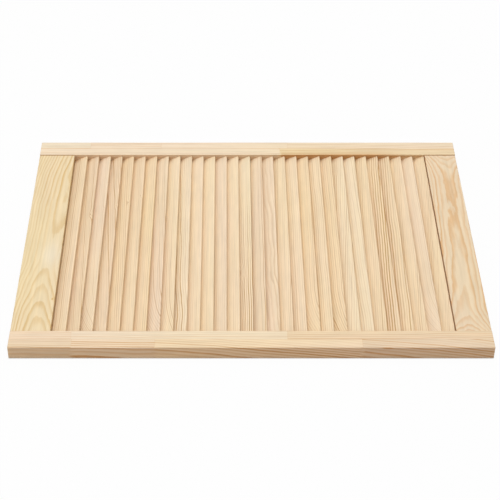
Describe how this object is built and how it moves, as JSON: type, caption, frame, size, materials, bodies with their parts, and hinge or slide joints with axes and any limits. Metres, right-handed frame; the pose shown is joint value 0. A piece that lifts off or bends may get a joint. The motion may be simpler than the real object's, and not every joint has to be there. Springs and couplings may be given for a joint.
{
  "type": "louvred cabinet door",
  "caption": "Louvred cabinet door of bare pine: a frame of stiles and rails joined with dowels, filled with fixed slanted slats that let air through and hide what is behind.",
  "frame": {"origin": "middle of the door's back face, on the surface it lies on", "axes": "+X along the stiles from top rail to bottom rail, +Y across the door from left stile to right stile, +Z out of the front face"},
  "size_m": [0.69, 0.494, 0.021],
  "materials": {
    "pine_stile": "sanded, unfinished",
    "pine_rail": "sanded, unfinished",
    "pine_slat": "sanded, unfinished",
    "beech_dowel": "turned, bare"
  },
  "bodies": {
    "root": {"left_stile": "pine_stile", "right_stile": "pine_stile", "top_rail": "pine_rail", "bottom_rail": "pine_rail", "slat_01": "pine_slat", "slat_02": "pine_slat", "slat_03": "pine_slat", "slat_04": "pine_slat", "slat_05": "pine_slat", "slat_06": "pine_slat", "slat_07": "pine_slat", "slat_08": "pine_slat", "slat_09": "pine_slat", "slat_10": "pine_slat", "slat_11": "pine_slat", "slat_12": "pine_slat", "slat_13": "pine_slat", "slat_14": "pine_slat", "slat_15": "pine_slat", "slat_16": "pine_slat", "slat_17": "pine_slat", "slat_18": "pine_slat", "slat_19": "pine_slat", "slat_20": "pine_slat", "slat_21": "pine_slat", "slat_22": "pine_slat", "slat_23": "pine_slat", "slat_24": "pine_slat", "slat_25": "pine_slat", "slat_26": "pine_slat", "slat_27": "pine_slat", "slat_28": "pine_slat", "slat_29": "pine_slat", "slat_30": "pine_slat", "dowel_top_left_outer": "beech_dowel", "dowel_top_left_inner": "beech_dowel", "dowel_top_right_outer": "beech_dowel", "dowel_top_right_inner": "beech_dowel", "dowel_bottom_left_outer": "beech_dowel", "dowel_bottom_left_inner": "beech_dowel", "dowel_bottom_right_outer": "beech_dowel", "dowel_bottom_right_inner": "beech_dowel"}
  },
  "joints": []
}
